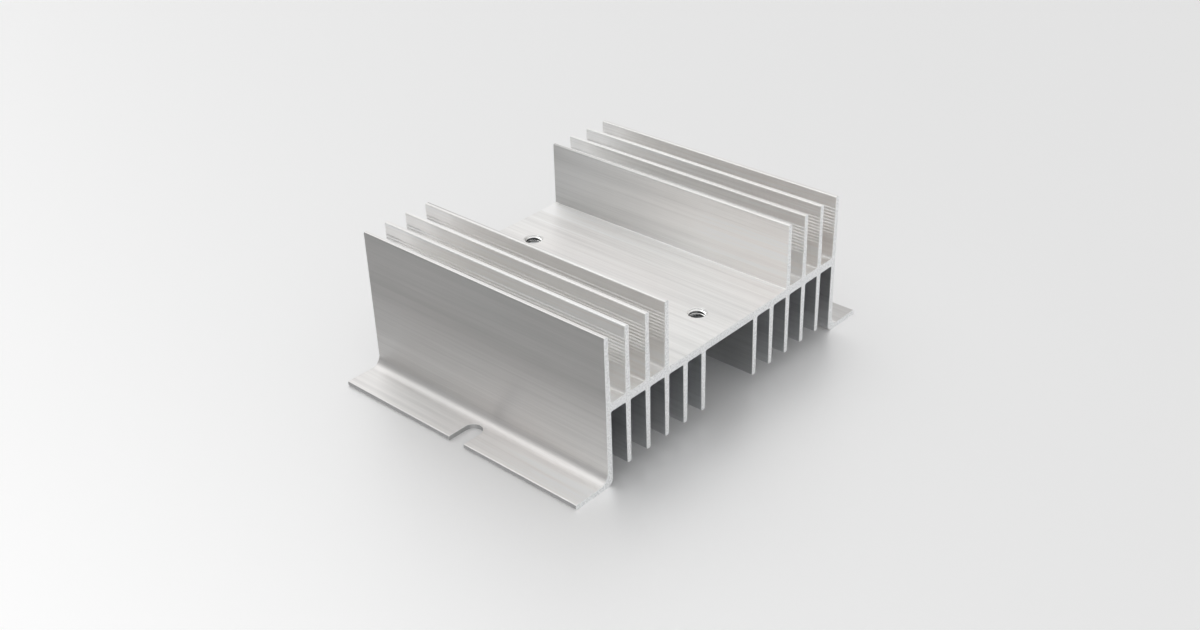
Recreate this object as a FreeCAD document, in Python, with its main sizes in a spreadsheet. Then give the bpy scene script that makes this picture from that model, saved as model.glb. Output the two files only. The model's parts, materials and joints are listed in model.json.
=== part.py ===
import FreeCAD, Part
import os
import Sketcher

# Heat sink for a diode module: one aluminium extrusion with an H-shaped section, sawn to length.
# Millimetres. X runs across the section, Y along the extrusion and Z up. The origin is at the
# middle of the footprint, on the surface that the two feet stand on. The right half of the
# section is built first and mirrored, then the tapped holes are made.

SIZES = [
    ("length", 100.0, "sawn length of the extrusion"),
    ("height", 50.0, "from the underside of the feet to the fin tips"),
    ("fin_pitch", 8.55, "from one fin's middle to the next"),
    ("inner_fin_x", 12.8, "middle of the innermost lower fin, from the mid-plane"),
    ("lower_fins", 5, "fins under the cross-web, on each side"),
    ("upper_fins", 3, "fins over the cross-web, on each side, inside the outer wall"),
    ("lower_root", 2.0, "thickness of a lower fin at the cross-web"),
    ("lower_tip", 1.6, "thickness of a lower fin at its tip"),
    ("upper_root", 2.0, "thickness of an upper fin at the channel floor"),
    ("upper_tip", 1.6, "thickness of an upper fin at its tip"),
    ("fin_lift", 4.0, "from the feet's underside up to the lower fins' tips"),
    ("web_bottom", 24.8, "height of the cross-web's underside, in the middle"),
    ("web_taper", 0.45, "how far the underside rises from the innermost lower fin to the outer wall"),
    ("web_thickness", 3.2, "from the underside's middle up to the channel floors"),
    ("plate_thickness", 2.6, "cross-web in the middle, where the module is seated"),
    ("ramp_run", 8.0, "width of the slope from the seat up to the innermost upper fin"),
    ("ramp_rise", 0.35, "rise of that slope"),
    ("wall_root", 2.0, "thickness of the outer wall at the channel floor and below"),
    ("wall_tip", 1.6, "thickness of the outer wall at its tip"),
    ("foot_reach", 13.65, "foot, from the outer wall's face to its edge"),
    ("foot_thickness", 1.6, "thickness of the foot"),
    ("bend_round", 3.6, "round between the outer wall's face and the foot"),
    ("heel_round", 2.4, "round under the outer wall, at the foot's inner end"),
    ("foot_edge_round", 0.5, "round on the foot's long edge"),
    ("tip_round", 0.45, "round on the tips of the upper fins and the outer walls"),
    ("lower_tip_round", 0.3, "round on the lower fins' tips"),
    ("upper_root_round", 0.8, "round in the corners of the upper channels"),
    ("ramp_round", 0.25, "round where the slope meets the innermost upper fin"),
    ("lower_root_round", 0.6, "round where the lower fins meet the cross-web"),
    ("groove_start", 4.0, "first cooling groove, below the fin tip"),
    ("groove_pitch", 1.1, "from one cooling groove to the next"),
    ("groove_count", 9, "cooling grooves in each channel wall"),
    ("groove_width", 0.66, "mouth of a cooling groove"),
    ("groove_depth", 0.26, "depth of a cooling groove"),
    ("slot_width", 6.4, "open slot in the foot, for an M6 screw"),
    ("slot_offset", 0.8, "middle of the slot, in front of the foot's middle"),
    ("hole_spacing", 73.7, "between the tapped holes, along the extrusion"),
    ("front_hole_x", 0.5, "front tapped hole, from the mid-plane"),
    ("rear_hole_x", 4.0, "rear tapped hole, from the mid-plane"),
    ("thread_major", 6.0, "outer diameter of the M6 thread"),
    ("thread_chamfer", 0.3, "chamfer at the mouth of a tapped hole"),
    ("cut_margin", 0.1, "how far a cutting outline passes the face that it opens"),
]

# Places in the section, as formulas of the sizes above.
FLOOR = "(Sizes.web_bottom + Sizes.web_thickness)"
SEAT = "(Sizes.web_bottom + Sizes.plate_thickness)"
WALL_MID = "(Sizes.inner_fin_x + Sizes.lower_fins * Sizes.fin_pitch)"
WALL_FACE = "(%s + Sizes.wall_tip / 2)" % WALL_MID
WALL_TIP_IN = "(%s - Sizes.wall_tip)" % WALL_FACE
WALL_ROOT_IN = "(%s - Sizes.wall_root)" % WALL_FACE
FOOT_EDGE = "(%s + Sizes.foot_reach)" % WALL_FACE
UPPER_MID = "(%s - Sizes.upper_fins * Sizes.fin_pitch)" % WALL_MID
RAMP_TOP = "(%s + Sizes.ramp_rise)" % SEAT
IN_WEB = "(Sizes.web_bottom + Sizes.plate_thickness / 2)"
SLOT_CENTRE = "(%s + Sizes.bend_round + Sizes.slot_width / 2)" % WALL_FACE

# How near an edge must lie to a place in the section to count as that place's edge.
NEAR = 0.001


def make_sheet(doc):
    sheet = doc.addObject("Spreadsheet::Sheet", "Sizes")
    for row, (name, value, meaning) in enumerate(SIZES, 1):
        sheet.set("A%d" % row, name)
        sheet.set("B%d" % row, "%g" % value)
        sheet.set("C%d" % row, meaning)
        sheet.setAlias("B%d" % row, name)
    doc.recompute()
    return sheet


def value_of(sheet, formula):
    return float(sheet.evalExpression(str(formula)))


def origin_part(body, role):
    return next(part for part in body.Origin.OriginFeatures if part.Role == role)


def make_sketch(body, name, plane, lift=None):
    sketch = body.newObject("Sketcher::SketchObject", name)
    sketch.AttachmentSupport = [(origin_part(body, plane), "")]
    sketch.MapMode = "FlatFace"
    if lift:
        sketch.setExpression("AttachmentOffset.Base.z", lift)
    return sketch


def pin_point(sketch, geometry, which, place):
    """Ties one point of the sketch to its two formulas, measured from the origin."""
    for kind, formula in zip(("DistanceX", "DistanceY"), place):
        distance = value_of(sketch.Document.Sizes, formula)
        number = sketch.addConstraint(Sketcher.Constraint(kind, -1, 1, geometry, which, distance))
        sketch.setExpression("Constraints[%d]" % number, str(formula))


def draw_outline(sketch, corners):
    """A closed outline of straight lines. Each corner is a pair of formulas."""
    sheet = sketch.Document.Sizes
    points = [FreeCAD.Vector(value_of(sheet, x), value_of(sheet, z), 0) for x, z in corners]
    lines = [Part.LineSegment(start, points[(i + 1) % len(points)]) for i, start in enumerate(points)]
    numbers = sketch.addGeometry(lines, False)
    for i, number in enumerate(numbers):
        following = numbers[(i + 1) % len(numbers)]
        sketch.addConstraint(Sketcher.Constraint("Coincident", number, 2, following, 1))
        pin_point(sketch, number, 1, corners[i])


def pad_section(body, name, corners):
    """A stretch of the section, extruded half the length to each side of the middle."""
    sketch = make_sketch(body, name + "Section", "XZ_Plane")
    draw_outline(sketch, corners)
    pad = body.newObject("PartDesign::Pad", name)
    pad.Profile = sketch
    pad.SideType = "Symmetric"
    pad.Refine = True
    pad.setExpression("Length", "Sizes.length")
    body.Document.recompute()
    return pad


def repeat_across(body, feature, name, count):
    """Repeats a feature along X at the fin pitch."""
    pattern = body.newObject("PartDesign::LinearPattern", name)
    pattern.Originals = [feature]
    pattern.Direction = (origin_part(body, "X_Axis"), [""])
    pattern.Mode = "Spacing"
    pattern.setExpression("Offset", "Sizes.fin_pitch")
    pattern.setExpression("Occurrences", count)
    pattern.Refine = True
    body.Tip = pattern
    body.Document.recompute()
    return pattern


def long_edges(feature, places):
    """Names of the edges that run the whole length through the given places of the section."""
    sheet = feature.Document.Sizes
    wanted = [(value_of(sheet, x), value_of(sheet, z)) for x, z in places]
    names = []
    for number, edge in enumerate(feature.Shape.Edges, 1):
        start, end = edge.Vertexes[0].Point, edge.Vertexes[-1].Point
        if max(abs(start.x - end.x), abs(start.z - end.z)) > NEAR:
            continue
        if any(max(abs(start.x - x), abs(start.z - z)) < NEAR for x, z in wanted):
            names.append("Edge%d" % number)
    if len(names) != len(wanted):
        raise RuntimeError("%d edges found for %d places" % (len(names), len(wanted)))
    return names


def round_edges(body, name, places, radius):
    base = body.Tip
    names = long_edges(base, places)
    fillet = body.newObject("PartDesign::Fillet", name)
    fillet.Base = (base, names)
    fillet.setExpression("Radius", radius)
    body.Document.recompute()
    return fillet


def upper_half(level):
    """Half the thickness of an upper fin at one level: its sides lean apart towards the cross-web."""
    lean = "(Sizes.upper_root - Sizes.upper_tip) / 2 / (Sizes.height - %s)" % FLOOR
    return "(Sizes.upper_root / 2 + %s * (%s - %s))" % (lean, FLOOR, level)


def lower_half(level):
    """Half the thickness of a lower fin at one level: its sides lean apart towards the cross-web."""
    lean = "(Sizes.lower_root - Sizes.lower_tip) / 2 / (Sizes.web_bottom - Sizes.fin_lift)"
    return "(Sizes.lower_root / 2 + %s * (%s - Sizes.web_bottom))" % (lean, level)


def underside(x):
    """The cross-web's underside at one place between the innermost lower fin and the outer wall."""
    slope = "Sizes.web_taper / (%s - Sizes.inner_fin_x)" % WALL_MID
    return "(Sizes.web_bottom + %s * (%s - Sizes.inner_fin_x))" % (slope, x)


def fin_sides(first_mid, count, thickness, level):
    """The places of both side faces of a row of fins, at one level."""
    places = []
    for k in range(count):
        for side in ("-", "+"):
            places.append(("%s + %d * Sizes.fin_pitch %s %s / 2" % (first_mid, k, side, thickness), level))
    return places


def lower_roots(count):
    """The places where the lower fins meet the cross-web's underside. It is flat up to the innermost
    fin's middle, and rises so gently past it that a fin's nominal side gives the level."""
    places = []
    for k in range(count):
        for side in ("-", "+"):
            middle = "(Sizes.inner_fin_x + %d * Sizes.fin_pitch)" % k
            level = underside("(%s %s Sizes.lower_root / 2)" % (middle, side))
            if k == 0 and side == "-":
                level = "Sizes.web_bottom"
            places.append(("%s %s %s" % (middle, side, lower_half(level)), level))
    return places


def cut_grooves(body, name, tip_x, root_x, side, columns):
    """Fine V grooves along a channel wall, which leans from tip_x at the top to root_x at the floor.
    The metal lies on the given side of the wall, "-" or "+", and the cut repeats on as many columns
    of fins."""
    away = "+" if side == "-" else "-"
    level = "Sizes.height - Sizes.groove_start"
    face = "(%s + (%s - %s) * Sizes.groove_start / (Sizes.height - %s))" % (tip_x, root_x, tip_x, FLOOR)
    half_mouth = "Sizes.groove_width / 2 * (1 + Sizes.cut_margin / Sizes.groove_depth)"
    mouth = "%s %s Sizes.cut_margin" % (face, away)
    sketch = make_sketch(body, name + "Section", "XZ_Plane")
    draw_outline(sketch, [
        ("%s %s Sizes.groove_depth" % (face, side), level),
        (mouth, "%s - %s" % (level, half_mouth)),
        (mouth, "%s + %s" % (level, half_mouth)),
    ])
    guide = [(tip_x, "Sizes.height"), (root_x, FLOOR)]
    ends = [FreeCAD.Vector(value_of(sketch.Document.Sizes, x), value_of(sketch.Document.Sizes, z), 0)
            for x, z in guide]
    line = sketch.addGeometry(Part.LineSegment(*ends), True)
    for which, place in enumerate(guide, 1):
        pin_point(sketch, line, which, place)
    groove = body.newObject("PartDesign::Pocket", name)
    groove.Profile = sketch
    groove.Type = "ThroughAll"
    groove.SideType = "Symmetric"
    groove.Refine = False
    body.Document.recompute()
    pattern = body.newObject("PartDesign::LinearPattern", name + "Pattern")
    pattern.Originals = [groove]
    pattern.Direction = (sketch, ["Axis0"])
    pattern.Mode = "Spacing"
    pattern.setExpression("Offset", "Sizes.groove_pitch")
    pattern.setExpression("Occurrences", "Sizes.groove_count")
    pattern.Direction2 = (origin_part(body, "X_Axis"), [""])
    pattern.Mode2 = "Extent"
    pattern.setExpression("Length2", "(%s - 1) * Sizes.fin_pitch" % columns)
    pattern.setExpression("Occurrences2", columns)
    body.Tip = pattern
    body.Document.recompute()
    return pattern


def build_half_section(body):
    """Cross-web, fins and outer wall with its foot, to the right of the mid-plane."""
    sheet = body.Document.Sizes
    lower_fins = int(value_of(sheet, "Sizes.lower_fins"))
    upper_fins = int(value_of(sheet, "Sizes.upper_fins"))
    ramp_top_x = "(%s - %s)" % (UPPER_MID, upper_half(RAMP_TOP))

    pad_section(body, "CrossWeb", [
        ("0", "Sizes.web_bottom"),
        ("Sizes.inner_fin_x", "Sizes.web_bottom"),
        (WALL_MID, underside(WALL_MID)),
        (WALL_MID, FLOOR),
        (UPPER_MID, FLOOR),
        (UPPER_MID, RAMP_TOP),
        (ramp_top_x, RAMP_TOP),
        ("%s - Sizes.ramp_run" % ramp_top_x, SEAT),
        ("0", SEAT),
    ])
    pad_section(body, "OuterWall", [
        (WALL_ROOT_IN, "0"),
        (FOOT_EDGE, "0"),
        (FOOT_EDGE, "Sizes.foot_thickness"),
        (WALL_FACE, "Sizes.foot_thickness"),
        (WALL_FACE, "Sizes.height"),
        (WALL_TIP_IN, "Sizes.height"),
        (WALL_ROOT_IN, FLOOR),
    ])
    lower_fin = pad_section(body, "LowerFin", [
        ("Sizes.inner_fin_x - %s" % lower_half(IN_WEB), IN_WEB),
        ("Sizes.inner_fin_x - Sizes.lower_tip / 2", "Sizes.fin_lift"),
        ("Sizes.inner_fin_x + Sizes.lower_tip / 2", "Sizes.fin_lift"),
        ("Sizes.inner_fin_x + %s" % lower_half(IN_WEB), IN_WEB),
    ])
    repeat_across(body, lower_fin, "LowerFins", "Sizes.lower_fins")
    upper_fin = pad_section(body, "UpperFin", [
        ("%s - %s" % (UPPER_MID, upper_half(IN_WEB)), IN_WEB),
        ("%s + %s" % (UPPER_MID, upper_half(IN_WEB)), IN_WEB),
        ("%s + Sizes.upper_tip / 2" % UPPER_MID, "Sizes.height"),
        ("%s - Sizes.upper_tip / 2" % UPPER_MID, "Sizes.height"),
    ])
    repeat_across(body, upper_fin, "UpperFins", "Sizes.upper_fins")

    # The row's first side faces the seat and meets the slope, not a channel floor.
    channel_sides = fin_sides(UPPER_MID, upper_fins, "Sizes.upper_root", FLOOR)[1:]
    round_edges(body, "UpperRoots", channel_sides + [(WALL_ROOT_IN, FLOOR)], "Sizes.upper_root_round")
    round_edges(body, "RampRoot", [(ramp_top_x, RAMP_TOP)], "Sizes.ramp_round")
    round_edges(body, "LowerRoots", lower_roots(lower_fins) + [(WALL_ROOT_IN, underside(WALL_ROOT_IN))],
                "Sizes.lower_root_round")
    round_edges(body, "UpperTips",
                fin_sides(UPPER_MID, upper_fins, "Sizes.upper_tip", "Sizes.height")
                + [(WALL_FACE, "Sizes.height"), (WALL_TIP_IN, "Sizes.height")],
                "Sizes.tip_round")
    round_edges(body, "LowerTips",
                fin_sides("Sizes.inner_fin_x", lower_fins, "Sizes.lower_tip", "Sizes.fin_lift"),
                "Sizes.lower_tip_round")
    round_edges(body, "FootBend", [(WALL_FACE, "Sizes.foot_thickness")], "Sizes.bend_round")
    round_edges(body, "FootHeel", [(WALL_ROOT_IN, "0")], "Sizes.heel_round")
    round_edges(body, "FootEdge", [(FOOT_EDGE, "0"), (FOOT_EDGE, "Sizes.foot_thickness")],
                "Sizes.foot_edge_round")


def cut_channel_walls(body):
    """Grooves on both walls of every upper channel, the outer wall's inner face included."""
    cut_grooves(body, "RightFaceGroove",
                "(%s + Sizes.upper_tip / 2)" % UPPER_MID, "(%s + Sizes.upper_root / 2)" % UPPER_MID,
                "-", "Sizes.upper_fins")
    cut_grooves(body, "LeftFaceGroove",
                "(%s + Sizes.fin_pitch - Sizes.upper_tip / 2)" % UPPER_MID,
                "(%s + Sizes.fin_pitch - Sizes.upper_root / 2)" % UPPER_MID,
                "+", "Sizes.upper_fins - 1")
    cut_grooves(body, "WallGroove", WALL_TIP_IN, WALL_ROOT_IN, "+", "1")


def cut_slot(body):
    """Open slot near the middle of the foot. Its round end stops where the bend begins."""
    sheet = body.Document.Sizes
    sketch = make_sketch(body, "SlotOutline", "XY_Plane")
    centre = value_of(sheet, SLOT_CENTRE)
    middle = value_of(sheet, "-Sizes.slot_offset")
    mouth = value_of(sheet, FOOT_EDGE + " + Sizes.cut_margin")
    half = value_of(sheet, "Sizes.slot_width / 2")
    low, high = middle - half, middle + half
    places = [(centre, low), (mouth, low), (mouth, high), (centre, high)]
    corners = [FreeCAD.Vector(x, y, 0) for x, y in places]
    sketch.addGeometry([Part.LineSegment(corners[i], corners[i + 1]) for i in range(3)], False)
    inner_end = FreeCAD.Vector(centre - half, middle, 0)
    arc = sketch.addGeometry(Part.Arc(corners[3], inner_end, corners[0]), False)
    lower, side, upper = 0, 1, 2
    for first, second in ((lower, side), (side, upper)):
        sketch.addConstraint(Sketcher.Constraint("Coincident", first, 2, second, 1))
    sketch.addConstraint(Sketcher.Constraint("Tangent", upper, 2, arc, 1))
    sketch.addConstraint(Sketcher.Constraint("Tangent", arc, 2, lower, 1))
    sketch.addConstraint(Sketcher.Constraint("Horizontal", lower))
    sketch.addConstraint(Sketcher.Constraint("Vertical", side))
    pin_point(sketch, arc, 3, (SLOT_CENTRE, "-Sizes.slot_offset"))
    sizes = (
        (Sketcher.Constraint("DistanceX", -1, 1, side, 1, mouth), FOOT_EDGE + " + Sizes.cut_margin"),
        (Sketcher.Constraint("Radius", arc, half), "Sizes.slot_width / 2"),
    )
    for constraint, formula in sizes:
        number = sketch.addConstraint(constraint)
        sketch.setExpression("Constraints[%d]" % number, formula)
    slot = body.newObject("PartDesign::Pocket", "FootSlot")
    slot.Profile = sketch
    slot.Type = "ThroughAll"
    slot.SideType = "Symmetric"
    body.Document.recompute()


def mirror_half(body):
    mirrored = body.newObject("PartDesign::Mirrored", "BothHalves")
    mirrored.TransformMode = "Whole shape"
    mirrored.MirrorPlane = (origin_part(body, "YZ_Plane"), [""])
    mirrored.Refine = True
    body.Tip = mirrored
    body.Document.recompute()


def tap_holes(body):
    """Two M6 holes through the seat, bored to the thread's outer diameter and chamfered on top."""
    sheet = body.Document.Sizes
    sketch = make_sketch(body, "HoleCentres", "XY_Plane", lift=SEAT)
    radius = value_of(sheet, "Sizes.thread_major / 2")
    places = (
        ("Sizes.front_hole_x", "-Sizes.hole_spacing / 2"),
        ("Sizes.rear_hole_x", "Sizes.hole_spacing / 2"),
    )
    for x, y in places:
        centre = FreeCAD.Vector(value_of(sheet, x), value_of(sheet, y), 0)
        circle = sketch.addGeometry(Part.Circle(centre, FreeCAD.Vector(0, 0, 1), radius), False)
        pin_point(sketch, circle, 3, (x, y))
        number = sketch.addConstraint(Sketcher.Constraint("Radius", circle, radius))
        sketch.setExpression("Constraints[%d]" % number, "Sizes.thread_major / 2")
    body.Document.recompute()
    hole = body.newObject("PartDesign::Hole", "TappedHoles")
    hole.Profile = sketch
    hole.DepthType = "ThroughAll"
    hole.HoleCutType = "Countersink"
    hole.HoleCutCustomValues = True
    hole.HoleCutCountersinkAngle = 90
    hole.setExpression("Diameter", "Sizes.thread_major")
    hole.setExpression("HoleCutDiameter", "Sizes.thread_major + 2 * Sizes.thread_chamfer")
    body.Document.recompute()


def make_heat_sink(doc):
    body = doc.addObject("PartDesign::Body", "HeatSink")
    body.Label = "heat_sink"
    body.Placement = FreeCAD.Placement()
    build_half_section(body)
    cut_channel_walls(body)
    cut_slot(body)
    mirror_half(body)
    tap_holes(body)
    return body


def check_document(doc, parts):
    for item in doc.Objects:
        if "Invalid" in item.State or "Error" in item.State:
            raise RuntimeError("%s did not build: %s" % (item.Name, item.State))
    for part in parts:
        if part.Shape.isNull() or not part.Shape.isValid() or len(part.Shape.Solids) != 1:
            raise RuntimeError("%s is not one valid solid" % part.Label)


def main():
    doc = FreeCAD.newDocument("DiodeModuleHeatSink")
    make_sheet(doc)
    parts = [make_heat_sink(doc)]
    doc.recompute()
    check_document(doc, parts)
    os.makedirs("parts", exist_ok=True)
    for part in parts:
        part.Shape.exportStep("parts/%s.step" % part.Label)
        box = part.Shape.BoundBox
        print(part.Label, "volume %.0f" % part.Shape.Volume,
              "size %.2f x %.2f x %.2f" % (box.XLength, box.YLength, box.ZLength))


main()
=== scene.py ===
import json
import math
from collections import namedtuple

import bmesh
import bpy
from mathutils import Matrix, Vector


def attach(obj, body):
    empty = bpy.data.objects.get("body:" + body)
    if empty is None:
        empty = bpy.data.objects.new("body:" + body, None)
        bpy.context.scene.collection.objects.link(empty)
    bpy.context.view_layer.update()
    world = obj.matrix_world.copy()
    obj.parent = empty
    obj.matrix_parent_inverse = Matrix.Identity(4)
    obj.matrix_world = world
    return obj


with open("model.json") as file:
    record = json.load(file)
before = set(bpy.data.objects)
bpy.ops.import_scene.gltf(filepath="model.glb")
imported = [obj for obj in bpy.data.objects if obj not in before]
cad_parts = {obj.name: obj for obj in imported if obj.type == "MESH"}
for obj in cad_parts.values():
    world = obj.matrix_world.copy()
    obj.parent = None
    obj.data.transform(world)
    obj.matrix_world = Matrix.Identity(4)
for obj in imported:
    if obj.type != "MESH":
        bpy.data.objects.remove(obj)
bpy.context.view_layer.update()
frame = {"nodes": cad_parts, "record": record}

# Heat sink for a diode module: one aluminium extrusion, sawn to length, with two tapped holes. The
# extrusion's shape comes from the frame. This script gives it its finish, with light and shade painted
# into its colour in places, cuts the thread turns as two pieces of their own, and sets up the floor,
# light and camera. Metres, +Z up, Y along the extrusion.
MM = 0.001

# Tapped holes: an M6 thread, with the flats and flank angle of the standard internal profile.
THREAD_PITCH = 1.0 * MM
THREAD_CREST_FLAT = 0.25
THREAD_ROOT_FLAT = 0.125
FLANK_SLOPE = math.tan(math.radians(30))
THREAD_WALL = 0.07 * MM
THREAD_SEAT = 0.05 * MM
STEPS_ROUND = 120
STEPS_UP = 70
SHARP_EDGE = math.radians(35)

# The camera, as the photograph was taken: place, direction and lens.
EYE = Vector((-0.29506, -0.27106, 0.25005))
CAMERA_AZIMUTH = -47.061
CAMERA_ELEVATION = 30.61
CAMERA_ROLL = -1.947
LENS = 42.60
SENSOR = 36.0
NEAREST, FARTHEST = 0.01, 20

# The floor.
FLOOR_SIZE = 6.0
FLOOR_COLOR = (0.98, 0.98, 0.98, 1.0)
FLOOR_GLOSS = 0.6
FLOOR_ROUGHNESS = 0.5

# The studio: an evenly lit room with a long soft light across it, above and behind the object. The
# light spans a range of the direction's Y share, eases off outside it and is brightest at the top.
# Brightness 1 is white.
ROOM_LEVEL = 0.94
LIGHT_FROM, LIGHT_FULL_FROM = 0.05, 0.42
LIGHT_FULL_TO, LIGHT_TO = 0.75, 0.95
LIGHT_LOW, LIGHT_HIGH = 1.05, 1.55
LIGHT_TOP = 0.80

# The room has two dim sides, low behind the object's left and to its right. Each has an axis, given
# by azimuth and elevation, and eases off past its width. Angles are in degrees, the azimuth from +X
# towards +Y.
DIM_LEFT = {"azimuth": 145, "elevation": -12, "width": 44, "soft": 18}
DIM_LEFT_LEVEL = 0.15
DIM_RIGHT = {"azimuth": 14, "elevation": 5, "width": 46, "soft": 24}
DIM_RIGHT_LEVEL = 0.63
GLOSSY_BOUNCES = 12

# The drawn faces: two shades of metal in broad patches, with die lines of three widths, each of
# which lightens and darkens the metal by its tone. The lines run along Y, so the faces spread light
# across them. A span is the stretch of a noise's values that its effect is spread over.
WARM_METAL = (0.962, 0.942, 0.926, 1.0)
COOL_METAL = (0.948, 0.944, 0.931, 1.0)
METAL_PATCHES = {"across": 42 * MM, "along": 70 * MM, "detail": 1.0, "offset": 12.9}
PATCHES_SPAN = (0.35, 0.65)
BROAD_LINES = {"across": 7 * MM, "along": 160 * MM, "detail": 1.0}
MEDIUM_LINES = {"across": 1.3 * MM, "along": 90 * MM, "detail": 3.0, "offset": 3.1}
FINE_LINES = {"across": 0.22 * MM, "along": 24 * MM, "detail": 4.0, "roughness": 0.62, "offset": 7.7}
BROAD_TONE, MEDIUM_TONE, FINE_TONE = 0.05, 0.07, 0.06
LINES_SPAN = (0.25, 0.75)
MEAN_TONE = 0.99
DRAWN_ROUGHNESS = (0.38, 0.44)
DRAWN_SPREAD = 0.85

# The sawn faces: a fine grain, crossed by faint marks of the saw at a slight angle. A face counts
# as sawn by how squarely it faces along the extrusion.
SAWN_FACING = (0.8, 0.95)
SAWN_TINT = (0.985, 0.995, 1.0)
SAWN_TONE = (0.80, 0.99)
SAWN_ROUGHNESS = 0.55
GRAIN = {"scale": 1 / (0.55 * MM), "detail": 3.0, "roughness": 0.6}
GRAIN_SPAN = (0.4, 0.6)
SAW_MARK_SIZE = (5 * MM, 1.0, 0.3 * MM)
SAW_MARK_TILT = math.radians(12)
SAW_MARK_TONE = 0.03
MARKS_SPAN = (0.3, 0.7)

# Sharp edges, brushed bright and very slightly rounded, with a painted highlight in their colour. The
# turn is the cosine of the angle between the flat face and the rounded one, where the bright line
# starts and where it is full.
ARRIS_BRUSHED_HIGHLIGHT_COLOR = (0.96, 0.96, 0.95, 1.0)
ARRIS_SHARE = 0.6
ARRIS_WIDTH = 0.22 * MM
ARRIS_TURN = (0.995, 0.90)
BEVEL_SAMPLES = 6
BUMP_STRENGTH = 0.25
BUMP_HEIGHT = 0.05 * MM

# Limits of the regions with painted light and shade. From the mid-plane: where the slopes beside
# the seat start, the middle of the fins beside the lower bay and of those beside the seat, the
# middle of the outer walls, just under their outer faces, and just short of the slots.
SLOPES_START = 20.9 * MM
BAY_HALF = 12.9 * MM
SEAT_FIN_MIDDLE = 29.9 * MM
INSIDE_TO = 55.35 * MM
OUTSIDE_FROM = 56.15 * MM
SLOTS_FROM = 59.8 * MM

# In height: just under, at and just over the feet's top faces, near the top of the bends above
# them, just over the cross-web's underside, just over the seat, and just under the floors of the
# upper channels. Along the extrusion: just short of the sawn ends.
FOOT_EDGE_TO = 1.55 * MM
FOOT_THICKNESS = 1.6 * MM
FOOT_TO = 1.65 * MM
BEND_TOP = 5 * MM
WEB_BOTTOM = 25.3 * MM
SEAT_LEVEL = 27.42 * MM
CHANNEL_FLOOR = 27.8 * MM
SAWN_END = 49.9 * MM

# Painted shade: the outer walls are darkened towards their tops and far ends, with the bends and
# feet below them by a share of that; the whole of the right foot; and the fins beside the seat, on
# the seat's side, towards their far ends.
PAINTED_SHADE_TONE = 0.48
WALL_LOW, WALL_HIGH = 2 * MM, 32 * MM
WALL_FAR_SHARE = 0.6
FOOT_SHARE = 0.45
RIGHT_FOOT_SHARE = 0.5
SEAT_FIN_START = -20 * MM
SEAT_FIN_SHARE = 0.7

# Other regions: the upright faces of the feet and their slots get painted shade. The faces under
# the cross-web get painted shade with a slate tint, more of it in the lower bay, its widest gap, in
# the middle. The upper channels, the slopes beside the seat and the left foot get painted light.
FOOT_EDGE_SHADE_COLOR = (0.50, 0.50, 0.50, 1.0)
UPRIGHT_FACING = (0.85, 0.5)
UNDER_WEB_SHADE_TINT = (0.885, 0.905, 0.928, 1.0)
BAY_SHADE_TONE = 0.80
PAINTED_LIGHT_GAIN = 1.055

# The threads have a painted highlight where a flank faces up, and painted shade elsewhere.
FLANK_FACING = (0.15, 0.7)
THREAD_FLANK_HIGHLIGHT_COLOR = (0.97, 0.97, 0.96, 1.0)
THREAD_CREST_SHADE_COLOR = (0.22, 0.22, 0.22, 1.0)
THREAD_ROUGHNESS = (0.10, 0.20)
THREAD_BUMP_STRENGTH = 0.2
THREAD_BUMP_HEIGHT = 0.02 * MM
TOOL_MARK_COLOR = (0.5, 0.5, 0.5, 1.0)
TOOL_MARK_SHARE = 0.12
TOOL_MARK_SIZE = 0.8 * MM
TOOL_MARK_FLATNESS = 14.0

# A point of the surface: how far right of the mid-plane, along the extrusion, above the floor, and
# from the mid-plane on either side.
Place = namedtuple("Place", "right along level across")


def add(tree, kind, inputs=None, **settings):
    """One shader node with its settings. An input is a value, or a socket that is linked to it."""
    made = tree.nodes.new(kind)
    for name, value in settings.items():
        setattr(made, name, value)
    for socket, value in (inputs or {}).items():
        if isinstance(value, bpy.types.NodeSocket):
            tree.links.new(value, made.inputs[socket])
        else:
            made.inputs[socket].default_value = value
    return made


def math_node(tree, operation, first, second=0.0):
    return add(tree, "ShaderNodeMath", {0: first, 1: second}, operation=operation).outputs[0]


def total(tree, first, second):
    return math_node(tree, "ADD", first, second)


def product(tree, first, second):
    return math_node(tree, "MULTIPLY", first, second)


def unsigned(tree, value):
    return math_node(tree, "ABSOLUTE", value)


def above(tree, value, limit):
    return math_node(tree, "GREATER_THAN", value, limit)


def below(tree, value, limit):
    return math_node(tree, "LESS_THAN", value, limit)


def remap(tree, value, from_low, from_high, to_low=0.0, to_high=1.0):
    inputs = {0: value, 1: from_low, 2: from_high, 3: to_low, 4: to_high}
    return add(tree, "ShaderNodeMapRange", inputs).outputs[0]


def smooth_step(tree, value, start, end):
    """0 at the start and before it, easing to 1 at the end and beyond."""
    inputs = {0: value, 1: start, 2: end}
    return add(tree, "ShaderNodeMapRange", inputs, interpolation_type="SMOOTHSTEP").outputs[0]


def mix_value(tree, share, first, second):
    return add(tree, "ShaderNodeMix", {0: share, 2: first, 3: second}, data_type="FLOAT").outputs[0]


def mix_color(tree, share, first, second, blend="MIX"):
    inputs = {0: share, 6: first, 7: second}
    return add(tree, "ShaderNodeMix", inputs, data_type="RGBA", blend_type=blend).outputs[2]


def scale_color(tree, color, factor):
    return add(tree, "ShaderNodeVectorMath", {0: color, 3: factor}, operation="SCALE").outputs[0]


def darken(tree, share, color, tone):
    """The colour, multiplied by a grey tone where the share is 1."""
    return mix_color(tree, share, color, (tone, tone, tone, 1.0), blend="MULTIPLY")


def object_place(tree):
    return add(tree, "ShaderNodeTexCoord").outputs["Object"]


def object_normal(tree):
    return add(tree, "ShaderNodeTexCoord").outputs["Normal"]


def split(tree, vector):
    """The vector's X, Y and Z."""
    return tuple(add(tree, "ShaderNodeSeparateXYZ", {0: vector}).outputs)


def surface_place(tree):
    right, along, level = split(tree, object_place(tree))
    return Place(right, along, level, unsigned(tree, right))


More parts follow.
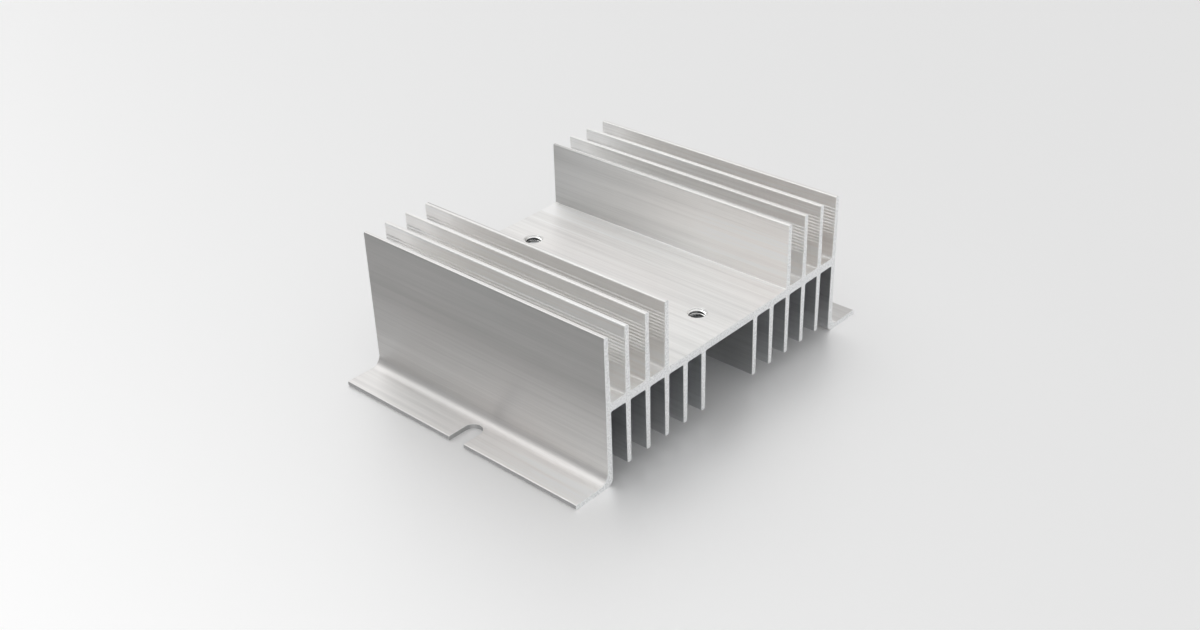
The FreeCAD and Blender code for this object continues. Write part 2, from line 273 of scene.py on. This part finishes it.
def noise(tree, place, scale=1.0, detail=2.0, roughness=0.5):
    inputs = {"Vector": place, "Scale": scale, "Detail": detail, "Roughness": roughness}
    return add(tree, "ShaderNodeTexNoise", inputs).outputs[0]


def stretched_noise(tree, across, along, detail, roughness=0.5, offset=0.0):
    """Noise drawn out along the extrusion: features as wide as across and as long as along."""
    scale = (1 / across, 1 / along, 1 / across)
    inputs = {"Vector": object_place(tree), "Scale": scale, "Location": (offset,) * 3}
    mapping = add(tree, "ShaderNodeMapping", inputs)
    return noise(tree, mapping.outputs[0], detail=detail, roughness=roughness)


def new_material(name):
    material = bpy.data.materials.new(name)
    material.use_nodes = True
    material.node_tree.nodes.clear()
    return material, material.node_tree


def set_surface(tree, inputs):
    """Gives the material its surface, a shader with these inputs."""
    surface = add(tree, "ShaderNodeBsdfPrincipled", inputs)
    add(tree, "ShaderNodeOutputMaterial", {"Surface": surface.outputs[0]})


def end_mask(tree):
    """1 on the sawn ends and the slots' side walls, which face along the extrusion, and 0 elsewhere."""
    facing = unsigned(tree, split(tree, object_normal(tree))[1])
    return remap(tree, facing, *SAWN_FACING)


def edge_mask(tree, rounded):
    """1 close to a sharp edge, brushed and given a painted highlight, falling to 0 where rounding ends."""
    normal = add(tree, "ShaderNodeNewGeometry").outputs["Normal"]
    alike = add(tree, "ShaderNodeVectorMath", {0: rounded, 1: normal}, operation="DOT_PRODUCT")
    return remap(tree, alike.outputs["Value"], *ARRIS_TURN)


def foot_edge_shade_mask(tree):
    """1 on the upright faces of the feet, which get painted shade: their long edges and the walls of their
    slots.
    """
    place = surface_place(tree)
    facing = unsigned(tree, split(tree, object_normal(tree))[2])
    mask = product(tree, above(tree, place.across, SLOTS_FROM), below(tree, place.level, FOOT_EDGE_TO))
    mask = product(tree, mask, below(tree, unsigned(tree, place.along), SAWN_END))
    return product(tree, mask, remap(tree, facing, *UPRIGHT_FACING))


def foot_masks(tree, place):
    """1 on the left foot, and 1 on the right foot."""
    both = product(tree, above(tree, place.across, OUTSIDE_FROM), below(tree, place.level, FOOT_TO))
    right = product(tree, both, above(tree, place.right, 0.0))
    return math_node(tree, "SUBTRACT", both, right), right


def wall_painted_shade(tree, place):
    """How much painted shade the outer walls, bends and feet get, from 0 to 1."""
    low = remap(tree, place.level, WALL_LOW, WALL_HIGH, 1.0, 0.0)
    near = remap(tree, place.along, -SAWN_END, SAWN_END, 1.0, 1.0 - WALL_FAR_SHARE)
    shade_share = math_node(tree, "SUBTRACT", 1.0, product(tree, low, near))
    share = remap(tree, place.level, FOOT_THICKNESS, BEND_TOP, FOOT_SHARE, 1.0)
    return product(tree, product(tree, above(tree, place.across, OUTSIDE_FROM), shade_share), share)


def seat_fin_painted_shade(tree, place):
    """How much painted shade the fins beside the seat get on the seat's side, from 0 to 1."""
    beside = product(tree, above(tree, place.level, CHANNEL_FLOOR),
                     below(tree, place.across, SEAT_FIN_MIDDLE))
    return product(tree, beside, remap(tree, place.along, SEAT_FIN_START, SAWN_END, 0.0, SEAT_FIN_SHARE))


def painted_light_and_shade(tree, color):
    """The colour with painted light and shade by region: painted light, a slate tint with painted shade,
    more painted shade in the lower bay, and the painted shade of walls, feet and seat fins.
    """
    place = surface_place(tree)
    left_foot, right_foot = foot_masks(tree, place)
    inside = below(tree, place.across, INSIDE_TO)
    under_web = product(tree, inside, below(tree, place.level, WEB_BOTTOM))
    bay = product(tree, under_web, below(tree, place.across, BAY_HALF))
    over_web = product(tree, inside, above(tree, place.level, SEAT_LEVEL))
    over_web = product(tree, over_web, above(tree, place.across, SLOPES_START))
    painted_light = math_node(tree, "MAXIMUM", over_web, left_foot)
    # Painted shade on the outer walls, bends, feet, the right foot and the seat fins.
    shade_share = total(tree, wall_painted_shade(tree, place), product(tree, right_foot, RIGHT_FOOT_SHARE))
    shade_share = total(tree, shade_share, seat_fin_painted_shade(tree, place))

    # Painted light on the upper channels, slopes and left foot, then painted shade with a slate tint under
    # the cross-web and more painted shade in the lower bay.
    color = scale_color(tree, color, remap(tree, painted_light, 0.0, 1.0, 1.0, PAINTED_LIGHT_GAIN))
    color = mix_color(tree, under_web, color, UNDER_WEB_SHADE_TINT, blend="MULTIPLY")
    color = darken(tree, bay, color, BAY_SHADE_TONE)
    # The painted shade of walls, feet and seat fins darkens the colour here.
    return darken(tree, shade_share, color, PAINTED_SHADE_TONE)


def drawn_color(tree, medium, fine):
    """Metal in two shades, lightened and darkened along the die lines."""
    patches = stretched_noise(tree, **METAL_PATCHES)
    broad = stretched_noise(tree, **BROAD_LINES)
    tone = MEAN_TONE
    for lines, change in ((broad, BROAD_TONE), (medium, MEDIUM_TONE), (fine, FINE_TONE)):
        tone = total(tree, tone, remap(tree, lines, *LINES_SPAN, -change, change))
    color = mix_color(tree, remap(tree, patches, *PATCHES_SPAN), WARM_METAL, COOL_METAL)
    return painted_light_and_shade(tree, scale_color(tree, color, tone))


def saw_cut(tree):
    """The grain of the sawn ends, and the saw's marks across it."""
    place = object_place(tree)
    scale = tuple(1 / size for size in SAW_MARK_SIZE)
    inputs = {"Vector": place, "Rotation": (0, SAW_MARK_TILT, 0), "Scale": scale}
    tilted = add(tree, "ShaderNodeMapping", inputs)
    return noise(tree, place, **GRAIN), noise(tree, tilted.outputs[0])


def sawn_color(tree, grain, marks):
    tone = total(tree, remap(tree, grain, *GRAIN_SPAN, *SAWN_TONE),
                 remap(tree, marks, *MARKS_SPAN, -SAW_MARK_TONE, SAW_MARK_TONE))
    return scale_color(tree, SAWN_TINT, tone)


def spread_direction(tree, ends):
    """The direction in which a face spreads light: across the die lines, or X on the sawn ends."""
    inputs = {0: object_normal(tree), 1: (0.0, 1.0, 0.0)}
    across = add(tree, "ShaderNodeVectorMath", inputs, operation="CROSS_PRODUCT").outputs[0]
    inputs = {0: ends, 4: across, 5: (1.0, 0.0, 0.0)}
    return add(tree, "ShaderNodeMix", inputs, data_type="VECTOR").outputs[1]


def heat_sink_material():
    """Mill-finish aluminium: fine die lines along the extrusion, and a grainy saw cut on the ends."""
    material, tree = new_material("mill_aluminium")
    medium = stretched_noise(tree, **MEDIUM_LINES)
    fine = stretched_noise(tree, **FINE_LINES)
    grain, marks = saw_cut(tree)
    ends = end_mask(tree)
    rounded = add(tree, "ShaderNodeBevel", {"Radius": ARRIS_WIDTH}, samples=BEVEL_SAMPLES).outputs[0]

    color = mix_color(tree, ends, drawn_color(tree, medium, fine), sawn_color(tree, grain, marks))
    # Painted shade on the upright faces of the feet and the walls of their slots.
    color = mix_color(tree, foot_edge_shade_mask(tree), color, FOOT_EDGE_SHADE_COLOR)
    # Brushed, brighter edges with a painted highlight.
    color = mix_color(tree, product(tree, edge_mask(tree, rounded), ARRIS_SHARE), color, ARRIS_BRUSHED_HIGHLIGHT_COLOR)
    rough = mix_value(tree, ends, remap(tree, medium, *LINES_SPAN, *DRAWN_ROUGHNESS), SAWN_ROUGHNESS)

    lines = product(tree, total(tree, fine, medium), 0.5)
    height = mix_value(tree, ends, lines, total(tree, grain, marks))
    inputs = {"Strength": BUMP_STRENGTH, "Distance": BUMP_HEIGHT, "Height": height, "Normal": rounded}
    bump = add(tree, "ShaderNodeBump", inputs)
    set_surface(tree, {"Base Color": color, "Metallic": 1.0, "Roughness": rough, "Normal": bump.outputs[0],
                       "Anisotropic": DRAWN_SPREAD, "Tangent": spread_direction(tree, ends)})
    return material


def thread_material():
    """Freshly cut aluminium, smoother than the mill finish, with tool marks round the hole's axis."""
    material, tree = new_material("cut_thread")
    inputs = {"Vector": object_place(tree), "Scale": (1.0, 1.0, TOOL_MARK_FLATNESS)}
    flattened = add(tree, "ShaderNodeMapping", inputs)
    marks = noise(tree, flattened.outputs[0], scale=1 / TOOL_MARK_SIZE)
    upward = split(tree, object_normal(tree))[2]
    # Painted highlight on flanks that face up, painted shade on the rest.
    color = mix_color(tree, remap(tree, upward, *FLANK_FACING), THREAD_CREST_SHADE_COLOR, THREAD_FLANK_HIGHLIGHT_COLOR)
    share = remap(tree, marks, *MARKS_SPAN, 0.0, TOOL_MARK_SHARE)
    color = mix_color(tree, share, color, TOOL_MARK_COLOR)
    rough = remap(tree, marks, *MARKS_SPAN, *THREAD_ROUGHNESS)
    inputs = {"Strength": THREAD_BUMP_STRENGTH, "Distance": THREAD_BUMP_HEIGHT, "Height": marks}
    bump = add(tree, "ShaderNodeBump", inputs)
    set_surface(tree, {"Base Color": color, "Metallic": 1.0, "Roughness": rough, "Normal": bump.outputs[0]})
    return material


def floor_material():
    """Pale and satin: its own colour, and a soft mirror image of the room."""
    material, tree = new_material("pale_floor")
    set_surface(tree, {"Base Color": FLOOR_COLOR, "Metallic": FLOOR_GLOSS, "Roughness": FLOOR_ROUGHNESS})
    return material


def thread_radius(angle, height, outer):
    """The wall's radius in the tapped hole, as deep as the thread is cut at this angle and height."""
    turn = (height / THREAD_PITCH - angle / (2 * math.pi)) % 1.0
    from_crest = abs(turn - 0.5)
    flank = 0.5 - THREAD_CREST_FLAT / 2 - THREAD_ROOT_FLAT / 2
    share = min(max((from_crest - THREAD_CREST_FLAT / 2) / flank, 0.0), 1.0)
    crest = outer - flank * THREAD_PITCH / FLANK_SLOPE
    return crest + share * (outer - THREAD_WALL - crest)


def thread_section(mesh, centre, angle, low, high, outer):
    """The thread's outline at one angle: up the cut wall, and down again just inside the metal. The
    chamfer's cone, at 45 degrees, trims the top turns."""
    out = Vector((math.cos(angle), math.sin(angle), 0))
    ring = []
    for k in range(STEPS_UP + 1):
        z = low + (high - low) * k / STEPS_UP
        cone = outer - (high - z)
        radius = max(thread_radius(angle, z - low, outer), cone)
        ring.append(mesh.verts.new(Vector((centre.x, centre.y, z)) + out * radius))
    for z in (high, low):
        ring.append(mesh.verts.new(Vector((centre.x, centre.y, z)) + out * (outer + THREAD_SEAT)))
    return ring


def make_thread(name, mount, material):
    """The thread turns of one tapped hole, as a closed ring inside the plain bore of the frame."""
    outer = mount["dims"]["r_mm"] * MM
    half = mount["dims"]["length_mm"] * MM / 2
    centre = Vector(mount["pos_m"])
    low, high = centre.z - half, centre.z + half
    mesh = bmesh.new()
    angles = [2 * math.pi * i / STEPS_ROUND for i in range(STEPS_ROUND)]
    rings = [thread_section(mesh, centre, angle, low, high, outer) for angle in angles]
    for i, ring in enumerate(rings):
        following = rings[(i + 1) % STEPS_ROUND]
        for k in range(len(ring)):
            up = (k + 1) % len(ring)
            mesh.faces.new((ring[k], following[k], following[up], ring[up]))
    bmesh.ops.recalc_face_normals(mesh, faces=mesh.faces)
    for face in mesh.faces:
        face.smooth = True
    data = bpy.data.meshes.new(name)
    mesh.to_mesh(data)
    mesh.free()
    data.set_sharp_from_angle(angle=SHARP_EDGE)
    data.materials.append(material)
    thread = bpy.data.objects.new(name, data)
    bpy.context.scene.collection.objects.link(thread)
    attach(thread, "root")


def make_floor():
    half = FLOOR_SIZE / 2
    corners = [(-half, -half, 0), (half, -half, 0), (half, half, 0), (-half, half, 0)]
    data = bpy.data.meshes.new("floor")
    data.from_pydata(corners, [], [(0, 1, 2, 3)])
    data.materials.append(floor_material())
    floor = bpy.data.objects.new("floor", data)
    bpy.context.scene.collection.objects.link(floor)


def patch(tree, direction, azimuth, elevation, width, soft):
    """1 within a width of an axis, easing to 0 over a soft rim outside it."""
    around, upward = math.radians(azimuth), math.radians(elevation)
    axis = (math.cos(upward) * math.cos(around), math.cos(upward) * math.sin(around), math.sin(upward))
    close = add(tree, "ShaderNodeVectorMath", {0: direction, 1: axis}, operation="DOT_PRODUCT")
    rim, edge = math.cos(math.radians(width + soft)), math.cos(math.radians(width))
    return smooth_step(tree, close.outputs["Value"], rim, edge)


def light_scene():
    """Lights everything from the world: the room, its long light and its two dim sides."""
    world = bpy.data.worlds.new("studio")
    world.use_nodes = True
    bpy.context.scene.world = world
    tree = world.node_tree
    direction = add(tree, "ShaderNodeTexCoord").outputs["Generated"]
    behind, upward = split(tree, direction)[1:]
    light = mix_value(tree, smooth_step(tree, upward, 0.0, LIGHT_TOP), LIGHT_LOW, LIGHT_HIGH)
    band = product(tree, smooth_step(tree, behind, LIGHT_FROM, LIGHT_FULL_FROM),
                   smooth_step(tree, behind, LIGHT_TO, LIGHT_FULL_TO))
    room = mix_value(tree, band, ROOM_LEVEL, light)
    room = mix_value(tree, patch(tree, direction, **DIM_LEFT), room, DIM_LEFT_LEVEL)
    room = mix_value(tree, patch(tree, direction, **DIM_RIGHT), room, DIM_RIGHT_LEVEL)
    background = tree.nodes["Background"]
    background.inputs["Color"].default_value = (1, 1, 1, 1)
    tree.links.new(room, background.inputs["Strength"])
    # Light goes down the narrow channels and out again over many reflections.
    bpy.context.scene.cycles.glossy_bounces = GLOSSY_BOUNCES


def make_camera():
    """Looks from the eye's place along its azimuth and elevation, then rolls about its own axis."""
    azimuth, elevation, roll = (math.radians(a) for a in (CAMERA_AZIMUTH, CAMERA_ELEVATION, CAMERA_ROLL))
    ahead = Vector((-math.sin(azimuth) * math.cos(elevation),
                    math.cos(azimuth) * math.cos(elevation), -math.sin(elevation)))
    level = ahead.cross(Vector((0, 0, 1))).normalized()
    upright = level.cross(ahead)
    right = level * math.cos(roll) + upright * math.sin(roll)
    up = right.cross(ahead)
    data = bpy.data.cameras.new("camera")
    data.lens = LENS
    data.sensor_width = SENSOR
    data.clip_start = NEAREST
    data.clip_end = FARTHEST
    camera = bpy.data.objects.new("camera", data)
    rotation = Matrix((right, up, -ahead)).transposed()
    camera.matrix_world = Matrix.Translation(EYE) @ rotation.to_4x4()
    bpy.context.scene.collection.objects.link(camera)
    bpy.context.scene.camera = camera


def main():
    sink = frame["nodes"]["heat_sink"]
    sink.data.materials.clear()
    sink.data.materials.append(heat_sink_material())
    cut = thread_material()
    mounts = {mount["name"]: mount for mount in frame["record"]["mounts"]}
    make_thread("thread_front", mounts["front_tapped_hole"], cut)
    make_thread("thread_rear", mounts["rear_tapped_hole"], cut)
    make_floor()
    light_scene()
    make_camera()
    bpy.context.scene.view_settings.view_transform = "Standard"


main()
